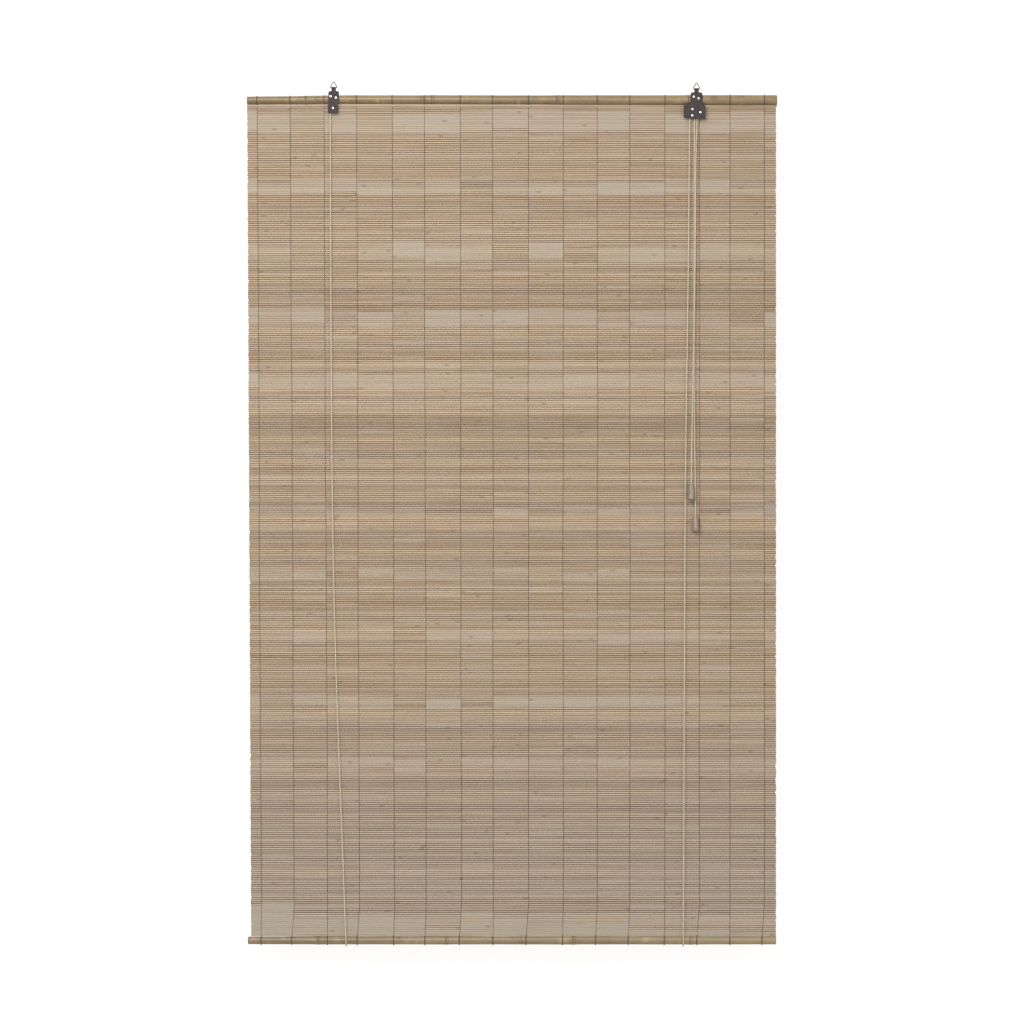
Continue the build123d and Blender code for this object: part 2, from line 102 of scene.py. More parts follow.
# How many of the last slats lie closed in each cell, from the left edge to the right edge.
CLOSED_AT_END = (14, 15, 8, 8, 9, 8, 3, 6, 7, 5, 6, 6, 3, 2, 3, 1, 1)


# ------------------------------------------------------------------ settings
class BlindSizes(bpy.types.PropertyGroup):
    ragged: FloatProperty(name="Ragged ends", description="How far slat ends fall short of the edge",
                          default=1.2 * MM, unit="LENGTH", min=0.0)
    waviness: FloatProperty(name="Waviness", description="Rise and fall of the slats along the blind",
                            default=0.30 * MM, unit="LENGTH", min=0.0)
    thread: FloatProperty(name="Thread thickness", description="Diameter of one warp thread",
                          default=0.85 * MM, unit="LENGTH", min=0.0)
    cord: FloatProperty(name="Cord thickness", description="Diameter of the lift cord",
                        default=2.1 * MM, unit="LENGTH", min=0.0)
    pole_sides: IntProperty(name="Pole sides", description="Facets round each bamboo pole",
                            default=40, min=12)
    wall_gap: FloatProperty(name="Wall distance", description="From the mat to the wall behind it",
                            default=0.094, unit="LENGTH", min=0.0)


def colour(label, description, default):
    return FloatVectorProperty(name=label, description=description, default=default,
                               size=3, subtype="COLOR", min=0.0, max=1.0)


class BlindColours(bpy.types.PropertyGroup):
    slat_light: colour("Slat straw", "Lighter fibres of a slat", (0.420, 0.322, 0.222))
    slat_dark: colour("Slat brown", "Darker fibres of a slat", (0.270, 0.190, 0.122))
    slat_pale: colour("Slat bleached", "Bleached, closed slats", (0.310, 0.274, 0.225))
    # Colour mixed into the slats towards the bottom of the mat, greyer and bluer.
    slat_greyer_low: colour("Slat lower grey", "Greyed bamboo towards the bottom", (0.387, 0.375, 0.347))
    # The slat edge colour is painted shade for the gaps between open slats.
    slat_painted_gap_shade: colour("Slat gap shade", "Shaded edge where two slats meet", (0.070, 0.041, 0.023))
    slat_stain: colour("Slat stain", "Streaks and joint marks on the slats", (0.115, 0.066, 0.036))
    # The pole tan and pole brown colours are painted light on the poles' upper side and painted shade on
    # their lower side.
    pole_painted_lit: colour("Pole tan", "Upper side of the poles", (0.262, 0.186, 0.090))
    pole_painted_shade: colour("Pole brown", "Lower side of the poles", (0.118, 0.074, 0.034))
    thread: colour("Thread", "Warp thread", (0.085, 0.05, 0.028))
    cord: colour("Cord", "Lift cord", (0.55, 0.48, 0.365))
    paint: colour("Bracket paint", "Painted sheet steel", (0.032, 0.027, 0.030))
    tassel: colour("Tassel wood", "Turned wooden tassels", (0.265, 0.197, 0.148))
    steel: colour("Steel", "Rivets, axles, screws and tacks", (0.46, 0.46, 0.46))
    ring: colour("Ring steel", "Dulled steel of the hanging rings", (0.085, 0.085, 0.10))
    sheave: colour("Sheave nylon", "Cord sheaves", (0.62, 0.59, 0.52))


# ------------------------------------------------------------------ node helpers
def add(tree, kind, inputs=None, **settings):
    """Adds a node, sets its properties, then fills or links the named inputs."""
    node = tree.nodes.new(kind)
    for key, value in settings.items():
        setattr(node, key, value)
    for key, value in (inputs or {}).items():
        if isinstance(value, bpy.types.NodeSocket):
            tree.links.new(value, node.inputs[key])
        else:
            node.inputs[key].default_value = value
    return node


def rgba(rgb):
    return (rgb[0], rgb[1], rgb[2], 1.0)


def maths(tree, operation, a, b=0.0, clamp=False):
    node = add(tree, "ShaderNodeMath", {0: a, 1: b}, operation=operation, use_clamp=clamp)
    return node.outputs[0]


def mix(tree, factor, a, b, blend="MIX"):
    node = add(tree, "ShaderNodeMix", {0: factor, 6: a, 7: b}, data_type="RGBA", blend_type=blend)
    return node.outputs[2]


def ramp(tree, value, low, high, out_low=0.0, out_high=1.0):
    node = add(tree, "ShaderNodeMapRange",
               {0: value, 1: low, 2: high, 3: out_low, 4: out_high}, clamp=True)
    return node.outputs[0]


def object_place(tree):
    return add(tree, "ShaderNodeTexCoord").outputs["Object"]


def noise(tree, vector, scale, detail, roughness=0.5):
    return add(tree, "ShaderNodeTexNoise", {"Vector": vector, "Scale": scale, "Detail": detail,
                                            "Roughness": roughness}).outputs[0]


def stretch(tree, vector, by):
    return add(tree, "ShaderNodeVectorMath", {0: vector, 1: by}, operation="MULTIPLY").outputs[0]


def group(name, inputs, outputs):
    """A new shader node group with named sockets. Returns the tree, its input and output nodes."""
    tree = bpy.data.node_groups.new(name, "ShaderNodeTree")
    for label, kind, default in inputs:
        socket = tree.interface.new_socket(name=label, in_out="INPUT", socket_type=kind)
        if default is not None:
            socket.default_value = default
    for label, kind in outputs:
        tree.interface.new_socket(name=label, in_out="OUTPUT", socket_type=kind)
    return tree, tree.nodes.new("NodeGroupInput"), tree.nodes.new("NodeGroupOutput")


def fibre_group():
    """Long bamboo or wood fibres that run along X."""
    tree, given, out = group("Long fibres", [
        ("Dark", "NodeSocketColor", (0.2, 0.1, 0.05, 1)), ("Light", "NodeSocketColor", (0.5, 0.4, 0.3, 1)),
        ("Along", "NodeSocketFloat", 18.0), ("Across", "NodeSocketFloat", 1400.0),
        ("Tone", "NodeSocketFloat", 0.5)],
        [("Color", "NodeSocketColor"), ("Height", "NodeSocketFloat"), ("Fibre", "NodeSocketFloat")])
    place = object_place(tree)
    scale = add(tree, "ShaderNodeCombineXYZ", {0: given.outputs["Along"], 1: given.outputs["Across"],
                                               2: given.outputs["Across"]}).outputs[0]
    stretched = stretch(tree, place, scale)
    fine = noise(tree, stretched, 1.0, 3.0)
    broad = noise(tree, stretch(tree, stretched, (0.23, 0.31, 0.31)), 1.0, 2.0)
    both = maths(tree, "ADD", maths(tree, "MULTIPLY", fine, 0.55), maths(tree, "MULTIPLY", broad, 0.45))
    fibre = ramp(tree, both, 0.36, 0.64)
    # The tone input moves the colour between Dark and Light: slats give their own tone, poles give painted
    # light and shade.
    lift = maths(tree, "ADD", maths(tree, "MULTIPLY", fibre, 0.5),
                 maths(tree, "SUBTRACT", given.outputs["Tone"], 0.25), clamp=True)
    tree.links.new(mix(tree, lift, given.outputs["Dark"], given.outputs["Light"]), out.inputs["Color"])
    tree.links.new(both, out.inputs["Height"])
    tree.links.new(fibre, out.inputs["Fibre"])
    return tree


def dust_group():
    """Soft patches of dust or grime laid over a colour."""
    tree, given, out = group("Dust", [
        ("Color", "NodeSocketColor", (0.5, 0.5, 0.5, 1)), ("Dust", "NodeSocketColor", (0.4, 0.38, 0.33, 1)),
        ("Amount", "NodeSocketFloat", 0.2), ("Scale", "NodeSocketFloat", 60.0)],
        [("Color", "NodeSocketColor"), ("Mask", "NodeSocketFloat")])
    place = object_place(tree)
    cloud = noise(tree, place, given.outputs["Scale"], 5.0, 0.65)
    mask = maths(tree, "MULTIPLY", ramp(tree, cloud, 0.45, 0.70), given.outputs["Amount"], clamp=True)
    tree.links.new(mix(tree, mask, given.outputs["Color"], given.outputs["Dust"]), out.inputs["Color"])
    tree.links.new(mask, out.inputs["Mask"])
    return tree


def twist_group():
    """The slanting lay of a twisted thread or braided cord that runs mostly along Z, with painted shade in
    the grooves of the lay.
    """
    tree, given, out = group("Twisted yarn", [
        ("Color", "NodeSocketColor", (0.5, 0.5, 0.5, 1)), ("Lay", "NodeSocketFloat", 420.0),
        ("Depth", "NodeSocketFloat", 0.35)],
        [("Color", "NodeSocketColor"), ("Height", "NodeSocketFloat")])
    place = object_place(tree)
    split = add(tree, "ShaderNodeSeparateXYZ", {0: place})
    slant = maths(tree, "ADD", split.outputs[2], split.outputs[0])
    wave = maths(tree, "SINE", maths(tree, "MULTIPLY", maths(tree, "MULTIPLY", slant, 2 * math.pi),
                                     given.outputs["Lay"]))
    fuzz = noise(tree, place, 2600.0, 2.0)
    height = maths(tree, "ADD", maths(tree, "MULTIPLY", wave, 0.35), fuzz)
    # Painted shade in the grooves between the twists, a darker copy of the yarn colour.
    shade = maths(tree, "MULTIPLY", ramp(tree, height, 0.2, 0.95, 1.0, 0.0), given.outputs["Depth"])
    dark = mix(tree, 1.0, given.outputs["Color"], (0.45, 0.40, 0.34, 1.0), "MULTIPLY")
    tree.links.new(mix(tree, shade, given.outputs["Color"], dark), out.inputs["Color"])
    tree.links.new(height, out.inputs["Height"])
    return tree


GROUPS = {}


def use(tree, name, **inputs):
    """Places a shared node group in a material."""
    makers = {"fibre": fibre_group, "dust": dust_group, "twist": twist_group}
    if name not in GROUPS:
        GROUPS[name] = makers[name]()
    return add(tree, "ShaderNodeGroup", inputs, node_tree=GROUPS[name]).outputs


def lay_dust(tree, shader, base, dust, amount, scale):
    """Lays dust over a colour, and gives the result to the shader."""
    dusty = use(tree, "dust", Color=base, Dust=dust, Amount=amount, Scale=scale)
    tree.links.new(dusty["Color"], shader.inputs["Base Color"])
    return dusty["Mask"]


def material(name, roughness=0.6, metallic=0.0, specular=0.4):
    made = bpy.data.materials.new(name)
    made.use_nodes = True
    shader = made.node_tree.nodes["Principled BSDF"]
    shader.inputs["Roughness"].default_value = roughness
    shader.inputs["Metallic"].default_value = metallic
    shader.inputs["Specular IOR Level"].default_value = specular
    return made, made.node_tree, shader


def bump(tree, shader, height, strength, distance):
    node = add(tree, "ShaderNodeBump", {"Strength": strength, "Distance": distance, "Height": height})
    tree.links.new(node.outputs[0], shader.inputs["Normal"])


# ------------------------------------------------------------------ materials
def slat_material():
    """Split bamboo: each slat has its own tone, with streaks, joint marks and bleached cells, and painted
    shade on the ledges between open slats.
    """
    c = bpy.context.scene.blind_colours
    made, tree, shader = material("split bamboo", roughness=0.62, specular=0.35)
    facts = add(tree, "ShaderNodeVertexColor", layer_name="slat")
    split = add(tree, "ShaderNodeSeparateColor", {0: facts.outputs[0]})
    tone, pale, own, face = split.outputs[0], split.outputs[1], split.outputs[2], facts.outputs[1]
    wood = use(tree, "fibre", Dark=rgba(c.slat_dark), Light=rgba(c.slat_light), Along=26.0,
               Across=1500.0, Tone=tone)
    base = wood["Color"]
    place = add(tree, "ShaderNodeSeparateXYZ", {0: object_place(tree)})
    along, up = place.outputs[0], place.outputs[2]
    # Greyer towards the bottom of the mat.
    base = mix(tree, ramp(tree, up, -1.45, -1.10, 0.30, 0.0), base, rgba(c.slat_greyer_low))
    bleached = maths(tree, "MULTIPLY", pale, ramp(tree, wood["Fibre"], 0.0, 1.0, 0.72, 1.0))
    base = mix(tree, bleached, base, rgba(c.slat_pale))
    # Long thin brown streaks, at places that differ from slat to slat.
    shifted = add(tree, "ShaderNodeCombineXYZ",
                  {0: maths(tree, "MULTIPLY", along, 11.0), 1: maths(tree, "MULTIPLY", own, 977.0),
                   2: maths(tree, "MULTIPLY", up, 900.0)})
    streaks = noise(tree, shifted.outputs[0], 1.0, 3.0, 0.6)
    base = mix(tree, ramp(tree, streaks, 0.60, 0.74, 0.0, 0.55), base, rgba(c.slat_stain))
    # Culm joints, about one to a slat.
    turn = maths(tree, "FRACT", maths(tree, "ADD", maths(tree, "MULTIPLY", along, 0.75),
                                      maths(tree, "MULTIPLY", own, 61.0)))
    near = ramp(tree, maths(tree, "ABSOLUTE", maths(tree, "SUBTRACT", turn, 0.5)), 0.001, 0.005, 0.38, 0.0)
    base = mix(tree, near, base, rgba(c.slat_stain))
    # Painted shade on the ledges between open slats, where the gaps between slats fall in shadow.
    base = mix(tree, ramp(tree, face, 0.1, 0.95, 0.95, 0.0), base, rgba(c.slat_painted_gap_shade))
    lay_dust(tree, shader, base, (0.30, 0.25, 0.20, 1), 0.25, 9.0)
    bump(tree, shader, wood["Height"], 0.25, 0.15 * MM)
    return made


def pole_material(name, tint):
    """A bamboo culm: painted light on its upper side and painted shade below, dark rings at its joints,
    painted shade in its hollow ends.
    """
    c = bpy.context.scene.blind_colours
    made, tree, shader = material(name, roughness=0.42, specular=0.5)
    facts = add(tree, "ShaderNodeVertexColor", layer_name="culm")
    split = add(tree, "ShaderNodeSeparateColor", {0: facts.outputs[0]})
    upper, ring, hollow_shade = split.outputs[0], split.outputs[1], split.outputs[2]
    light = tuple(c.pole_painted_lit[i] * tint[i] for i in range(3))
    dark = tuple(c.pole_painted_shade[i] * tint[i] for i in range(3))
    # The first culm fact paints light on the upper side and shade on the underside.
    wood = use(tree, "fibre", Dark=rgba(dark), Light=rgba(light), Along=7.0, Across=420.0, Tone=upper)
    patch = noise(tree, object_place(tree), 26.0, 6.0, 0.7)
    base = mix(tree, ramp(tree, patch, 0.56, 0.68, 0.0, 0.55), wood["Color"], (0.085, 0.05, 0.027, 1))
    base = mix(tree, ramp(tree, patch, 0.44, 0.32, 0.0, 0.45), base,
               rgba(tuple(min(1.0, v * 1.5) for v in light)))
    base = mix(tree, maths(tree, "MULTIPLY", ring, 0.8), base, (0.075, 0.045, 0.026, 1))
    # Painted shade inside the hollow ends, darkest at the bottom of the hollow.
    base = mix(tree, hollow_shade, base, (0.055, 0.036, 0.022, 1))
    lay_dust(tree, shader, base, (0.34, 0.28, 0.20, 1), 0.15, 40.0)
    shader.inputs["Coat Weight"].default_value = 0.12
    shader.inputs["Coat Roughness"].default_value = 0.3
    bump(tree, shader, wood["Height"], 0.35, 0.3 * MM)
    return made


def yarn_material(name, shade, lay, depth, roughness):
    """Twisted thread or cord, a little dusty, with painted shade in the grooves of the twist."""
    made, tree, shader = material(name, roughness=roughness, specular=0.2)
    yarn = use(tree, "twist", Color=rgba(shade), Lay=lay, Depth=depth)
    lay_dust(tree, shader, yarn["Color"], (0.30, 0.25, 0.19, 1), 0.25, 90.0)
    shader.inputs["Sheen Weight"].default_value = 0.15
    bump(tree, shader, yarn["Height"], 0.6, 0.2 * MM)
    return made


def paint_material():
    """Dark brown paint on sheet steel, rubbed through in small chips."""
    c = bpy.context.scene.blind_colours
    made, tree, shader = material("bracket paint", roughness=0.72, specular=0.25)
    chips = noise(tree, object_place(tree), 420.0, 5.0, 0.75)
    flake = ramp(tree, chips, 0.60, 0.66)
    base = mix(tree, ramp(tree, chips, 0.42, 0.56, 0.0, 0.5), rgba(c.paint), (0.045, 0.034, 0.032, 1))
    base = mix(tree, maths(tree, "MULTIPLY", flake, 0.5), base, (0.16, 0.13, 0.11, 1))
    lay_dust(tree, shader, base, (0.10, 0.085, 0.075, 1), 0.3, 140.0)
    tree.links.new(maths(tree, "MULTIPLY", flake, 0.6), shader.inputs["Metallic"])
    bump(tree, shader, chips, 0.4, 0.2 * MM)
    return made


def steel_material(name, shade, roughness):
    """Bare steel with fine scratches."""
    made, tree, shader = material(name, roughness=roughness, metallic=1.0)
    scratch = noise(tree, object_place(tree), 900.0, 4.0)
    base = mix(tree, ramp(tree, scratch, 0.45, 0.7, 0.0, 0.4), rgba(shade),
               rgba(tuple(v * 0.45 for v in shade)))
    lay_dust(tree, shader, base, (0.20, 0.16, 0.12, 1), 0.35, 300.0)
    tree.links.new(ramp(tree, scratch, 0.3, 0.7, roughness - 0.08, roughness + 0.14),
                   shader.inputs["Roughness"])
    bump(tree, shader, scratch, 0.2, 0.05 * MM)
    return made


def tassel_material():
    """Turned wood with an upright grain, and painted shade on its lower rim."""
    c = bpy.context.scene.blind_colours
    made, tree, shader = material("tassel wood", roughness=0.38, specular=0.5)
    dark = tuple(v * 0.62 for v in c.tassel)
    grain = noise(tree, stretch(tree, object_place(tree), (900.0, 900.0, 60.0)), 1.0, 4.0)
    base = mix(tree, ramp(tree, grain, 0.38, 0.66), rgba(c.tassel), rgba(dark))
    # Painted shade on the lower rim of the tassel.
    rim = add(tree, "ShaderNodeVertexColor", layer_name="rim")
    base = mix(tree, maths(tree, "MULTIPLY", rim.outputs[1], 0.85), base, (0.085, 0.05, 0.028, 1))
    lay_dust(tree, shader, base, (0.25, 0.17, 0.12, 1), 0.3, 160.0)
    shader.inputs["Coat Weight"].default_value = 0.25
    shader.inputs["Coat Roughness"].default_value = 0.2
    bump(tree, shader, grain, 0.25, 0.1 * MM)
    return made


def nylon_material():
    """Moulded sheaves, grimy from the cord."""
    c = bpy.context.scene.blind_colours
    made, tree, shader = material("sheave nylon", roughness=0.45, specular=0.5)
    mask = lay_dust(tree, shader, rgba(c.sheave), (0.2, 0.17, 0.13, 1), 0.5, 350.0)
    bump(tree, shader, mask, 0.2, 0.1 * MM)
    return made


FINISHES = {}


def finish(name):
    """Each finish is made once, when it is first asked for."""
    c = bpy.context.scene.blind_colours
    if name not in FINISHES:
        FINISHES[name] = {
            "slat": slat_material,
            "head": lambda: pole_material("head pole culm", (1.0, 1.0, 1.0)),
            "rail": lambda: pole_material("bottom pole culm", (1.05, 1.12, 1.28)),
            "thread": lambda: yarn_material("warp thread", c.thread, 520.0, 0.5, 0.8),
            "cord": lambda: yarn_material("lift cord", c.cord, 330.0, 0.45, 0.7),
            "paint": paint_material,
            "ring": lambda: steel_material("ring steel", c.ring, 0.55),
            "rivet": lambda: steel_material("rivet steel", tuple(min(1, v * 1.9) for v in c.steel), 0.24),
            "tassel": tassel_material,
            "nylon": nylon_material,
        }[name]()
    return FINISHES[name]


# ------------------------------------------------------------------ mesh helpers
def mesh_object(name, points, faces, finish_name, smooth=True):
    mesh = bpy.data.meshes.new(name)
    mesh.from_pydata([tuple(p) for p in points], [], faces)
    mesh.update()
    mesh.polygons.foreach_set("use_smooth", [smooth] * len(mesh.polygons))
    mesh.materials.append(finish(finish_name))
    made = bpy.data.objects.new(name, mesh)
    bpy.context.scene.collection.objects.link(made)
    return made


def paint_points(obj, layer, values):
    """Gives each point four facts, which the materials read."""
    attribute = obj.data.color_attributes.new(layer, "FLOAT_COLOR", "POINT")
    attribute.data.foreach_set("color", np.asarray(values, dtype=np.float32).ravel())


def rings_to_faces(start, rings, sides):
    """Quads between successive rings of points, with a cap at each end."""
    faces = []
    for i in range(rings - 1):
        a = start + i * sides
        for j in range(sides):
            k = (j + 1) % sides
            faces.append((a + j, a + k, a + sides + k, a + sides + j))
    faces.append(tuple(start + j for j in reversed(range(sides))))
    last = start + (rings - 1) * sides
    faces.append(tuple(last + j for j in range(sides)))
    return faces


def tube(centres, radius, sides, points, faces, side=Vector((1, 0, 0))):
    """Adds a round tube along centres to points and faces. side is roughly across the tube."""
    start = len(points)
    centres = [Vector(p) for p in centres]
    for i, p in enumerate(centres):
        ahead = centres[min(i + 1, len(centres) - 1)] - centres[max(i - 1, 0)]
        ahead.normalize()
        u = (side - ahead * side.dot(ahead)).normalized()
        v = ahead.cross(u)
        for j in range(sides):
            a = 2 * math.pi * j / sides
            points.append(p + (u * math.cos(a) + v * math.sin(a)) * radius)
    faces += rings_to_faces(start, len(centres), sides)


def table_value(table, u):
    """The value at u, on straight lines between the pairs of a table."""
    for (a, x), (b, y) in zip(table, table[1:]):
        if u <= b:
            return x + (y - x) * (u - a) / (b - a)
    return table[-1][1]


def ride_as(obj, body, slot, *nodes):
    """Rides a piece on its body, in place of CAD nodes. The slot is not used."""
    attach(obj, body)
    if nodes:
        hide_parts(*nodes)
    return obj


# ------------------------------------------------------------------ poles
def pole_radius(table, joints, x):
    """Radius of a pole at x: its taper, plus the swelling at each culm joint."""
    r = table_value(table, x * MM / HALF_WIDTH)
    for n in joints:
        r += JOINT_SWELL * max(0.0, 1.0 - abs(x - n) / JOINT_REACH)
    return r


def culm(name, z, length, table, joints, bows, fade, finish_name, rng):
    """A bamboo pole with joint ridges, a slight bow and out of round, and hollow ends."""
    sides = bpy.context.scene.blind_sizes.pole_sides
    half = length / 2 / MM
    stations = list(np.linspace(-half + 1.2, half - 1.2, 150))
    for n in joints:
        stations += [n + d for d in (-6, -4, -2.6, -1.6, -1.0, -0.5, 0, 0.5, 1.0, 1.6, 2.6, 3.4, 4.2, 6)]
    stations = sorted(stations)
    phase = [rng.uniform(0, 6.28) for _ in range(6)]
    rings = []
    for x in stations:
        r = pole_radius(table, joints, x) - 0.18
        mark = 0.0
        for n in joints:
            d = x - n
            if abs(d) < JOINT_REACH:
                r += 0.22 * math.exp(-((d - 1.3) / 0.8) ** 2) - 0.45 * math.exp(-((d + 0.4) / 0.55) ** 2)
                mark = max(mark, math.exp(-((d + 0.3) / 1.2) ** 2), 0.6 * math.exp(-((d - 3.4) / 0.9) ** 2))
        r += 0.10 * math.sin(x / 37 + phase[0]) + 0.06 * math.sin(x / 13 + phase[1])
        rings.append((x, r, mark, 0.0, table_value(bows, x * MM / HALF_WIDTH)))
    # The open ends: from the bottom of the hollow out over the rim.
    first, last = rings[0], rings[-1]
    rim, bow = first[1], first[4]
    # The fourth value of each ring is painted shade in the hollow, darkest at its bottom and faint over the
    # cut end.
    left = [(-half + 9, rim * 0.30, 0, 1.0, bow), (-half + 8.8, rim * 0.52, 0, 1.0, bow),
            (-half + 0.4, rim * 0.60, 0, 0.8, bow), (-half, rim * 0.64, 0, 0.45, bow),
            (-half, rim - 0.9, 0, 0.3, bow), (-half + 0.35, rim - 0.3, 0.2, 0.1, bow)]
    right = [(-x, last[1] - (rim - r) if r > rim * 0.7 else last[1] * r / rim, mark, hollow_shade, last[4])
             for x, r, mark, hollow_shade, _ in reversed(left)]
    points, shades = [], []
    every = left + rings + right
    for x, r, mark, hollow_shade, bow in every:
        for j in range(sides):
            a = 2 * math.pi * j / sides
            wobble = 1 + 0.012 * math.sin(2 * a + phase[3] + x / 240) + 0.006 * math.sin(3 * a + phase[4])
            y, up = -math.sin(a) * r * wobble, math.cos(a) * r * wobble
            points.append((x * MM, y * MM, z + (up + bow) * MM))
            # The cosine term paints light on the upper side and shade on the underside; the sine term is
            # the culm's own tone; fade pales the bottom pole's right end.
            tint = 0.5 + 0.42 * math.cos(a) + 0.12 * math.sin(x / 83 + phase[5]) + fade * max(0, x / half)
            shades.append((min(1, max(0, tint)), mark, hollow_shade, 1))
    made = mesh_object(name, points, rings_to_faces(0, len(every), sides), finish_name)
    paint_points(made, "culm", shades)
    return made


def wraps(name, z, table, joints, bows, places, rng):
    """Two turns of warp thread round a pole at each warp, tied off in a small knot."""
    thread = bpy.context.scene.blind_sizes.thread
    points, faces = [], []
    for w in places:
        r = pole_radius(table, joints, w / MM) * MM + thread * 0.5
        axis = z + table_value(bows, w / HALF_WIDTH) * MM
        lean = rng.uniform(-0.3, 0.3) * MM
        turns, steps = 2.0, 44
        route = []
        for i in range(steps + 1):
            a = 2 * math.pi * turns * i / steps
            x = w + (i / steps - 0.5) * 1.7 * thread + lean * math.sin(a)
            route.append((x, -math.sin(a) * r, axis - math.cos(a) * r))
        tube(route, thread * 0.47, 6, points, faces)
        below = axis - r - thread * 0.35
        knot = []
        for i in range(9):
            a = 2 * math.pi * i / 8
            knot.append((w + math.cos(a) * thread * 0.55, -math.sin(a) * thread * 0.9 - 0.4 * MM,
                         below + math.sin(a) * thread * 0.25))
        tube(knot, thread * 0.5, 6, points, faces, Vector((0, 0, 1)))
    return mesh_object(name, points, faces, "thread")


# ------------------------------------------------------------------ woven mat
def cell_facts(count, rng):
    """For each slat and each cell between warps: how bleached and tightly closed it is."""
    cells = len(WARPS) + 1
    pale = np.zeros((count, cells))
    for top, bottom in PALE_ROWS:
        strength = 1.0 if bottom - top < -0.02 else 0.7
        for cell in range(cells):
            if rng.random() < 0.16:
                continue
            shift = rng.choice((-1, 0, 0, 1)) * PITCH
            power = strength * rng.uniform(0.35, 1.0)
            for i in range(count):
                if bottom + shift - 1e-4 < slat_z(i) < top + shift + 1e-4:
                    pale[i, cell] = max(pale[i, cell], power * rng.uniform(0.75, 1.0))
    for cell, closed in enumerate(CLOSED_AT_END):
        power = rng.uniform(0.65, 1.0)
        for i in range(count - closed, count):
            pale[i, cell] = power * rng.uniform(0.85, 1.0)
    for _ in range(count):
        i, cell = rng.randrange(count), rng.randrange(cells)
        pale[i, cell] = max(pale[i, cell], rng.uniform(0.15, 0.6))
    return pale


def slat_z(i):
    """Height of the middle of a slat, counted from the top."""
    return MAT_TOP - PITCH * (i + 0.5)


def sway(x, z):
    """The slow rise and fall that neighbouring slats share."""
    s = bpy.context.scene.blind_sizes.waviness
    return s * (0.5 * math.sin(x * 9.1 + z * 3.1) + 0.3 * math.sin(x * 21.7 - z * 11.3 + 1.0)
                + 0.2 * math.sin(x * 47.0 + z * 29.0))


def warp_x(w, z):
    """A warp wanders a little on its way down, and leans where the last slats lie closed."""
    down = (MAT_TOP - z) / (MAT_TOP - RAIL_Z)
    wander = 0.5 * math.sin(z * 5.3 + w * 31.0) + 0.3 * math.sin(z * 17.0 + w * 77.0)
    drift = WARP_DRIFT * down * min(1.0, max(0.0, (0.05 - w) / HALF_WIDTH))
    near_rail = max(0.0, 1.0 - abs(z - RAIL_Z) / LEAN_HEIGHT)
    lean = -WARP_LEAN * (0.55 + 0.45 * math.sin(w * 57.0)) * near_rail
    return w + (wander * math.sin(math.pi * min(1.0, max(0.0, down))) + drift + lean) * MM


def left_edge(z):
    """The left ends of the slats slant inwards towards the bottom."""
    return -HALF_WIDTH + LEFT_SLANT * (MAT_TOP - z) / (MAT_TOP - RAIL_Z)


def stations_along(z, inset):
    """X places of a slat's sections, with a close pair at each warp, and the cell of each."""
    edges = [left_edge(z)] + [warp_x(w, z) for w in WARPS] + [HALF_WIDTH - RIGHT_INSET]
    places = []
    for cell, (a, b) in enumerate(zip(edges, edges[1:])):
        steps = (0.0, 0.5, 1.0) if b - a < 0.04 else (0.0, 0.3333, 0.6667, 1.0)
        for share in steps:
            places.append((a + inset + (b - a - 2 * inset) * share, cell))
    return places


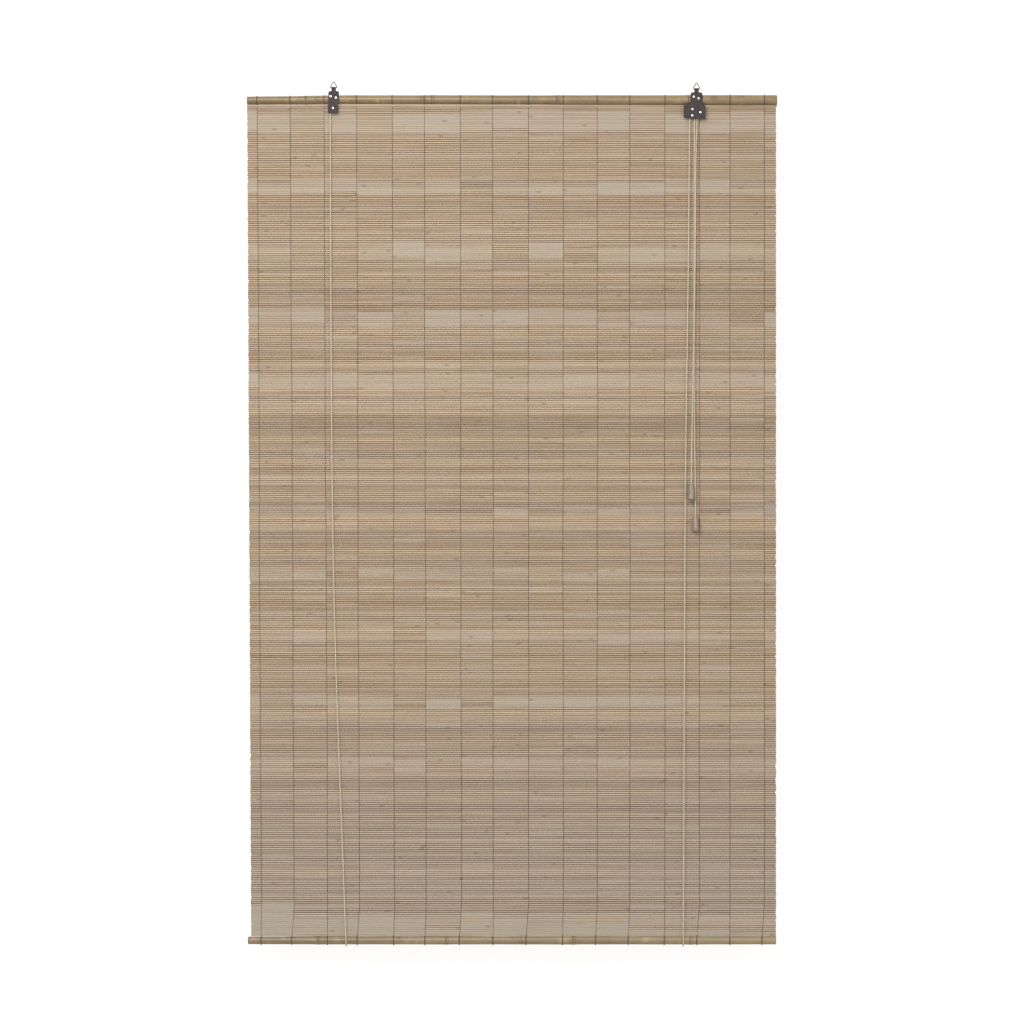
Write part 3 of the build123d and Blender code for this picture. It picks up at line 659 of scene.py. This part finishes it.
class Mat:
    """Facts that all strips of the mat share, drawn once from one seed."""

    def __init__(self):
        rng = random.Random(SEED)
        self.pale = cell_facts(SLATS, rng)
        self.slats = []
        drift = 0.0
        for _ in range(SLATS):
            drift = 0.7 * drift + rng.gauss(0, 0.10)
            self.slats.append({
                "tone": min(0.98, max(0.02, 0.5 + drift + rng.gauss(0, 0.17))),
                "own": rng.random(),
                "left": abs(rng.gauss(0, 0.5)), "right": abs(rng.gauss(0, 0.5)),
                "phase": rng.uniform(0, 6.28), "proud": rng.uniform(-0.08, 0.08) * MM,
                "drop": rng.uniform(-0.12, 0.12) * MM})
            self.slats[-1]["cells"] = [rng.gauss(0, 0.07) for _ in range(len(WARPS) + 1)]
            tight = rng.random() ** 4.0
            self.slats[-1]["seams"] = [min(1.0, max(0.0, tight + rng.gauss(0, 0.12)))
                                       for _ in range(len(WARPS) + 1)]

    def strip(self, name, first, count):
        """Slats first to first + count - 1, as one mesh of separate closed slats."""
        ragged = bpy.context.scene.blind_sizes.ragged
        points, faces, shades = [], [], []
        for i in range(first, first + count):
            s = self.slats[i]
            z = slat_z(i)
            places = stations_along(z, 0.05 * MM)
            places[0] = (places[0][0] + s["left"] * ragged, 0)
            places[-1] = (places[-1][0] - s["right"] * ragged, len(WARPS))
            sections = []
            for x, cell in places:
                closed = self.pale[i, cell]
                y = s["proud"] + 0.05 * MM * math.sin(x * 17 + s["phase"] * 2)
                lift = sway(x, z)
                tone = min(1, max(0, s["tone"] + s["cells"][cell]))
                sections.append((x, y, z - PITCH / 2 + lift, z + PITCH / 2 + lift, closed,
                                 (tone, closed, s["own"]), s["seams"][cell], s["drop"]))
            self.slat(sections, points, faces, shades)
        if first == 0:
            for x0, x1 in HEADER_PARTS:
                self.slat(self.header_sections(x0, x1), points, faces, shades)
        made = mesh_object(name, points, faces, "slat", smooth=False)
        paint_points(made, "slat", shades)
        return made

    def header_sections(self, x0, x1):
        """The first slat, trimmed to the underside of the head pole."""
        sections = []
        for i in range(41):
            x = x0 + (x1 - x0) * i / 40
            top = HEAD_Z + (table_value(HEAD_BOW, x / HALF_WIDTH) + 0.2
                            - pole_radius(HEAD_RADII, HEAD_JOINTS, x / MM)) * MM
            sections.append((x, 0.0, MAT_TOP + sway(x, MAT_TOP), top, 0.25,
                             (0.55 + 0.1 * math.sin(x * 40), 0.25, 0.31), 0.35, 0.0))
        return sections

    def slat(self, sections, points, faces, shades):
        """One closed slat: a flat back, and a face that drops to a ledge above and below, which carries
        painted shade.
        """
        start = len(points)
        half = SLAT_HALF_DEPTH
        clear = 0.03 * MM
        for x, y, low, high, closed, facts, seam, drop in sections:
            open_ = 1.0 - closed
            low, high = low + clear, high - clear
            ledge = (0.03 + 0.43 * open_ * (1.0 - seam)) * MM
            bevel = min((0.16 + 0.20 * open_) * MM, (high - low) * 0.2)
            front = -half + 0.04 * MM
            deep = front + (0.12 + 0.48 * open_) * MM
            middle = (low + high) / 2 + drop
            profile = ((half, low, 1), (half, high, 1), (deep, high, 0), (deep, high - ledge, 0),
                       (front, high - ledge - bevel, 1), (front - 0.05 * MM, middle, 1),
                       (front, low + ledge + bevel, 1), (deep, low + ledge, 0), (deep, low, 0))
            for dy, z, face in profile:
                points.append((x, y + dy, z))
                # Ledge points carry painted shade between the slats, less where slats lie closed or tight.
                shades.append(facts + ((1.0 if face else min(1.0, closed + 0.5 * seam)),))
        faces += rings_to_faces(start, len(sections), SLAT_SIDES)

    def threads(self, name, first, count, top=None, bottom=None):
        """Two threads at each warp, twined round the slats: each slat has one before and one behind."""
        thread = bpy.context.scene.blind_sizes.thread
        points, faces = [], []
        reach = SLAT_HALF_DEPTH + thread * 0.36
        for w in WARPS:
            for side in (-1, 1):
                route = []
                if top is not None:
                    route.append((w + side * thread * 0.3, 0.0, top))
                for i in range(first, first + count):
                    z = slat_z(i)
                    x, lift = warp_x(w, z), sway(w, z)
                    face = side if i % 2 else -side
                    if i == first:
                        route.append((x + side * thread * 0.30, -0.1 * reach * face,
                                      z + PITCH / 2 + lift - 0.02 * MM))
                    route.append((x + thread * 0.22, reach * face, z + PITCH * 0.22 + lift))
                    route.append((x - thread * 0.22, reach * face, z - PITCH * 0.22 + lift))
                    route.append((x + side * thread * 0.30, 0.0, z - PITCH / 2 + lift + 0.02 * MM))
                if bottom is not None:
                    route.append((warp_x(w, RAIL_Z) + side * thread * 0.3, 0.0, bottom))
                tube(route, thread * 0.5, 5, points, faces)
        return mesh_object(name, points, faces, "thread")


# ------------------------------------------------------------------ cords
def nurbs(name, route):
    """A smooth curve along a route in millimetres."""
    curve = bpy.data.curves.new(name, "CURVE")
    curve.dimensions = "3D"
    spline = curve.splines.new("NURBS")
    spline.points.add(len(route) - 1)
    for point, place in zip(spline.points, route):
        point.co = (place[0] * MM, place[1] * MM, place[2] * MM, 1)
    spline.order_u = 3
    spline.use_endpoint_u = True
    curve.resolution_u = 12
    return curve


def spline_points(curve):
    """The points of the curve's own line."""
    bare = bpy.data.objects.new("line", curve)
    bpy.context.scene.collection.objects.link(bare)
    bpy.context.view_layer.update()
    mesh = bpy.data.meshes.new_from_object(bare)
    places = [v.co.copy() for v in mesh.vertices]
    bpy.data.objects.remove(bare)
    bpy.data.meshes.remove(mesh)
    return places


def cord(name, route, body, nodes, lay="hanging", far_end="object", pieces=()):
    """A length of lift cord along a smooth line, as a mesh tube."""
    thick = bpy.context.scene.blind_sizes.cord
    curve = nurbs(name, route)
    line = spline_points(curve)
    curve.bevel_depth = thick / 2
    curve.bevel_resolution = 3
    curve.use_fill_caps = True
    solid = bpy.data.objects.new(name + "_line", curve)
    bpy.context.scene.collection.objects.link(solid)
    bpy.context.view_layer.update()
    mesh = bpy.data.meshes.new_from_object(solid)
    bpy.data.objects.remove(solid)
    mesh.name = name
    mesh.materials.clear()
    mesh.materials.append(finish("cord"))
    mesh.polygons.foreach_set("use_smooth", [True] * len(mesh.polygons))
    made = bpy.data.objects.new(name, mesh)
    bpy.context.scene.collection.objects.link(made)
    ride_as(made, body, "lift_cord", *nodes)
    return made


# Routes of the cords, in millimetres.
LEFT_FRONT = [(-342.4, -6.4, -50.1), (-341.5, -6.9, -506.0), (-336.4, -7.6, -1000.0),
              (-317.6, -8.7, -1491.0), (-313.0, -9.6, -1620.0)]
RIGHT_FRONT = [(335.0, -7.38, -52.6), (332.9, -7.5, -338.0), (326.5, -7.9, -732.0),
               (324.6, -8.4, -1200.0), (322.9, -9.6, -1620.0)]
LEFT_BACK = [(-338.5, 10.57, -35.5), (-333.0, 10.0, -900.0), (-313.0, 9.6, -1620.0)]
RIGHT_BACK = [(331.0, 12.24, -35.5), (328.0, 10.4, -900.0), (322.9, 9.6, -1620.0)]
CROSS = [(-342.4, -6.4, -49.8), (-342.4, -6.4, -45.1), (-330.2, -6.4, -45.1), (-330.2, 15.0, -45.1),
         (350.2, 15.0, -45.1), (350.2, -7.38, -45.1), (350.2, -7.38, -58.5)]
PULL_1 = [(350.2, -7.38, -58.8), (346.6, -7.38, -80.0), (345.6, -10.8, -330.0), (339.4, -12.4, -640.0),
          (337.9, -13.0, -731.0), (337.9, -13.0, -784.5)]
PULL_2 = [(335.0, -7.38, -52.3), (335.5, -7.38, -50.0), (337.4, -7.38, -48.1), (340.0, -7.38, -47.4),
          (342.6, -7.38, -48.1), (344.5, -7.38, -50.0), (345.1, -7.38, -53.0), (343.8, -7.38, -76.0),
          (343.2, -7.7, -420.0), (343.7, -8.4, -640.0), (345.9, -9.2, -790.0), (345.9, -9.2, -843.5)]


def loop_route(x):
    """Half a turn under the bottom rail, from the front strand to the back one."""
    return [(x, -9.6, -1620.3), (x, -9.6, -1630.5), (x, 9.6, -1630.5), (x, 9.6, -1620.3)]


def knot(name, x, y, z, body):
    """An overhand knot of the cord: a lumpy three-lobed coil."""
    thick = bpy.context.scene.blind_sizes.cord
    points, faces, route = [], [], []
    steps = 48
    for i in range(steps + 1):
        a = 2 * math.pi * i / steps
        r = 0.95 + 0.40 * math.cos(3 * a)
        route.append(((x + r * math.cos(2 * a)) * MM, (y + r * math.sin(2 * a)) * MM,
                      (z + 0.95 * math.sin(3 * a)) * MM))
    tube(route, thick * 0.47, 8, points, faces, Vector((0, 0, 1)))
    made = mesh_object(name, points, faces, "cord")
    return ride_as(made, body, "lift_cord")


def turned(name, profile, centre, finish_name):
    """A piece turned about a vertical axis, from (radius, height) pairs in millimetres."""
    points, faces, sides = [], [], TASSEL_SIDES
    cx, cy, cz = centre
    for r, h in profile:
        for j in range(sides):
            a = 2 * math.pi * j / sides
            points.append(((cx + r * math.cos(a)) * MM, (cy + r * math.sin(a)) * MM, (cz + h) * MM))
    rings = len(profile)
    for i in range(rings):
        a, b = i * sides, (i + 1) % rings * sides
        for j in range(sides):
            k = (j + 1) % sides
            faces.append((a + j, b + j, b + k, a + k))
    return mesh_object(name, points, faces, finish_name)


# ------------------------------------------------------------------ operators
class BuildStage(bpy.types.Operator):
    """Camera, wall, floor and soft studio light"""
    bl_idname = "blind.stage"
    bl_label = "Stage"

    def plane(self, name, corners, material_):
        mesh = bpy.data.meshes.new(name)
        mesh.from_pydata(corners, [], [(0, 1, 2, 3)])
        mesh.materials.append(material_)
        made = bpy.data.objects.new(name, mesh)
        bpy.context.scene.collection.objects.link(made)
        return made

    def light(self, name, place, target, size, power, tint=(1, 1, 1)):
        data = bpy.data.lights.new(name, "AREA")
        data.shape = "RECTANGLE"
        data.size, data.size_y = size
        data.energy = power
        data.color = tint
        made = bpy.data.objects.new(name, data)
        made.location = place
        made.rotation_euler = (Vector(target) - Vector(place)).to_track_quat("-Z", "Y").to_euler()
        bpy.context.scene.collection.objects.link(made)

    def execute(self, context):
        scene = context.scene
        data = bpy.data.cameras.new("camera")
        data.sensor_width = 36.0
        distance, view_width = 7.0, 1.932
        data.lens = 36.0 * distance / view_width
        data.clip_end = 60.0
        camera = bpy.data.objects.new("camera", data)
        camera.location = (0.0, -distance, -0.8114)
        camera.rotation_euler = (math.pi / 2, 0, 0)
        scene.collection.objects.link(camera)
        scene.camera = camera

        wall, tree, shader = material("wall", roughness=0.9, specular=0.0)
        shader.inputs["Base Color"].default_value = (0.22, 0.22, 0.22, 1)
        shader.inputs["Emission Color"].default_value = (1.0, 1.0, 1.0, 1)
        shader.inputs["Emission Strength"].default_value = 0.82
        # The wall is seen from the room only, so that the back of the blind can be looked at.
        facing = add(tree, "ShaderNodeNewGeometry").outputs["Backfacing"]
        clear = add(tree, "ShaderNodeBsdfTransparent").outputs[0]
        choose = add(tree, "ShaderNodeMixShader", {0: facing, 1: shader.outputs[0], 2: clear})
        tree.links.new(choose.outputs[0], tree.nodes["Material Output"].inputs["Surface"])
        y = scene.blind_sizes.wall_gap
        self.plane("wall_behind", [(-3.5, y, FLOOR_Z), (3.5, y, FLOOR_Z), (3.5, y, 2.2), (-3.5, y, 2.2)],
                   wall)
        floor, _, shader = material("floor", roughness=0.85, specular=0.1)
        shader.inputs["Base Color"].default_value = (0.82, 0.81, 0.79, 1)
        self.plane("floor_plane", [(x, y, FLOOR_Z) for x, y in ((-5, -6), (5, -6), (5, 5), (-5, 5))],
                   floor)

        world = bpy.data.worlds.new("studio")
        scene.world = world
        world.use_nodes = True
        background = world.node_tree.nodes["Background"]
        background.inputs["Color"].default_value = (1.0, 1.0, 1.0, 1)
        background.inputs["Strength"].default_value = 0.56
        self.light("key", (-0.9, -3.0, 0.7), (0, 0, -0.75), (1.8, 1.8), 96.0, (1.0, 0.975, 0.93))
        self.light("fill", (1.8, -3.4, -0.4), (0, 0, -0.9), (2.4, 2.4), 30.0)
        scene.view_settings.view_transform = "Standard"
        scene.view_settings.look = "None"
        return {"FINISHED"}


class BuildCords(bpy.types.Operator):
    """Lift cords, cross cord, loops and their knots"""
    bl_idname = "blind.cords"
    bl_label = "Cords"

    def execute(self, context):
        lift = {}
        for side, routes in (("left", (LEFT_FRONT, LEFT_BACK)), ("right", (RIGHT_FRONT, RIGHT_BACK))):
            lift[side] = [cord("%s_%s_strand" % (side, face), route, "frame",
                               ["%s_lift_cord_%s" % (side, face)], lay="taut")
                          for face, route in zip(("front", "back"), routes)]
        cord("left_under_rail_loop", loop_route(-313.0), "cord_loops", ["cord_loops"], lay="taut")
        cord("right_under_rail_loop", loop_route(322.9), "cord_loops", [], lay="taut")
        cord("cord_across_head", CROSS, "frame", ["cross_cord"], lay="taut")
        for strands, top in ((lift["left"], -50.1), (lift["right"], -52.6)):
            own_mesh(strands[0])
            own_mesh(strands[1])
        knot("left_head_knot", -338.5, 10.57, -34.5, "frame")
        knot("right_head_knot", 331.0, 12.24, -34.5, "frame")
        return {"FINISHED"}


class BuildTassels(bpy.types.Operator):
    """Two pull cords, each with a turned wooden tassel"""
    bl_idname = "blind.tassels"
    bl_label = "Pull cords and tassels"

    def execute(self, context):
        # Radius and height, from the bore down the outside to the pocket of the knot.
        profile = [(1.45, 6.0), (1.45, 26.6), (1.9, 27.0), (4.3, 27.0), (4.85, 26.7), (5.05, 26.1),
                   (5.35, 23.0), (6.2, 14.0), (7.1, 5.0), (7.5, 1.2), (7.45, 0.5), (6.9, 0.0),
                   (3.6, 0.0), (3.2, 0.5), (3.2, 5.9)]
        # Points below this height carry painted shade on the tassel's lower rim.
        shaded_rim_height = 0.9
        rim = [(0, 0, 0, 1.0 if h < shaded_rim_height else 0.0) for _, h in profile for _ in range(TASSEL_SIDES)]
        for number, route, place in ((1, PULL_1, (337.9, -13.0, -788.0)),
                                     (2, PULL_2, (345.9, -9.2, -847.0))):
            tassel = turned("turned_tassel_%d" % number, profile, place, "tassel")
            paint_points(tassel, "rim", rim)
            ride_as(tassel, "frame", "tassel_wood", "tassel_%d" % number)
            end = knot("tassel_knot_%d" % number, place[0], place[1], place[2] + 3.5, "frame")
            cord("hanging_cord_%d" % number, route, "frame", ["pull_cord_%d" % number], far_end="fitting",
                 pieces=[tassel, end])
        return {"FINISHED"}


class BuildPoles(bpy.types.Operator):
    """Head pole and bottom pole, with the thread wraps that hold the mat to them"""
    bl_idname = "blind.poles"
    bl_label = "Poles"

    def execute(self, context):
        rng = random.Random(SEED + 1)
        head = culm("head_culm", HEAD_Z, POLE_LENGTH, HEAD_RADII, HEAD_JOINTS, HEAD_BOW, 0.0, "head", rng)
        ride_as(head, "frame", "bamboo_poles", "head_rail")
        rail = culm("bottom_culm", RAIL_Z, POLE_LENGTH - 4 * MM, RAIL_RADII, RAIL_JOINTS, RAIL_BOW,
                    0.45, "rail", rng)
        ride_as(rail, "bottom_rail", "bamboo_poles", "bottom_rail")
        ties = wraps("head_ties", HEAD_Z, HEAD_RADII, HEAD_JOINTS, HEAD_BOW, WARPS, rng)
        ride_as(ties, "frame", "warp_thread", "head_rail_thread_wraps")
        ties = wraps("bottom_ties", RAIL_Z, RAIL_RADII, RAIL_JOINTS, RAIL_BOW,
                     [warp_x(w, RAIL_Z) for w in WARPS], rng)
        ride_as(ties, "bottom_rail", "warp_thread", "bottom_rail_thread_wraps")
        return {"FINISHED"}


class BuildMat(bpy.types.Operator):
    """The woven mat: every strip of slats with its own length of the warp threads"""
    bl_idname = "blind.mat"
    bl_label = "Woven mat"

    def execute(self, context):
        mat = Mat()
        nodes = ["slats_top"] + ["slats_%02d" % number for number in range(1, STRIPS + 1)]
        first = 0
        for number, node in enumerate(nodes):
            low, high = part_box(node)
            count = int(round((min(high[2], MAT_TOP) - low[2]) / PITCH + 0.05))
            body = "frame" if number == 0 else "strip_%02d" % number
            woven = mat.strip("woven_" + node, first, count)
            ride_as(woven, body, "bamboo_slats", node)
            top = HEAD_Z - 9.0 * MM if number == 0 else None
            bottom = RAIL_Z + 8.6 * MM if number == STRIPS else None
            yarn = mat.threads("threads_" + node, first, count, top, bottom)
            ride_as(yarn, body, "warp_thread", "warp_threads")
            first += count
        if first != SLATS:
            raise RuntimeError("the strips hold %d slats, not %d" % (first, SLATS))
        return {"FINISHED"}


class FinishBrackets(bpy.types.Operator):
    """Finishes for the hanger plates, rings, lock, sheaves, axles, screws and tacks"""
    bl_idname = "blind.brackets"
    bl_label = "Brackets"

    def execute(self, context):
        finishes = {"left_hanger_plate": "paint", "right_hanger_plate": "paint", "lock_back_plate": "paint",
                    "lock_cam": "ring", "left_ring": "ring", "right_ring": "ring", "left_sheave": "nylon",
                    "lock_sheave_upper": "nylon", "lock_sheave_lower": "nylon", "sheave_axles": "rivet",
                    "plate_screws": "rivet", "cord_tacks": "rivet"}
        for node, name in finishes.items():
            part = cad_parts[node]
            for slot in part.material_slots:
                slot.link = "OBJECT"
                slot.material = finish(name)
        return {"FINISHED"}


class BlindPanel(bpy.types.Panel):
    """Buttons for each piece of the blind"""
    bl_idname = "VIEW3D_PT_bamboo_blind"
    bl_label = "Bamboo roll up blind"
    bl_space_type = "VIEW_3D"
    bl_region_type = "UI"
    bl_category = "Blind"

    def draw(self, context):
        layout = self.layout
        for owner in (context.scene.blind_sizes, context.scene.blind_colours):
            for key in owner.__annotations__:
                layout.prop(owner, key)
        for operator in STEPS:
            layout.operator(operator.bl_idname)


STEPS = (BuildStage, BuildCords, BuildTassels, BuildPoles, BuildMat, FinishBrackets)
CLASSES = (BlindSizes, BlindColours) + STEPS + (BlindPanel,)


def register():
    for made in CLASSES:
        bpy.utils.register_class(made)
    bpy.types.Scene.blind_sizes = PointerProperty(type=BlindSizes)
    bpy.types.Scene.blind_colours = PointerProperty(type=BlindColours)


def unregister():
    del bpy.types.Scene.blind_sizes
    del bpy.types.Scene.blind_colours
    for made in reversed(CLASSES):
        bpy.utils.unregister_class(made)


def main():
    register()
    bpy.ops.blind.stage()
    bpy.ops.blind.cords()
    bpy.ops.blind.tassels()
    bpy.ops.blind.poles()
    bpy.ops.blind.mat()
    bpy.ops.blind.brackets()


if __name__ == "__main__":
    main()
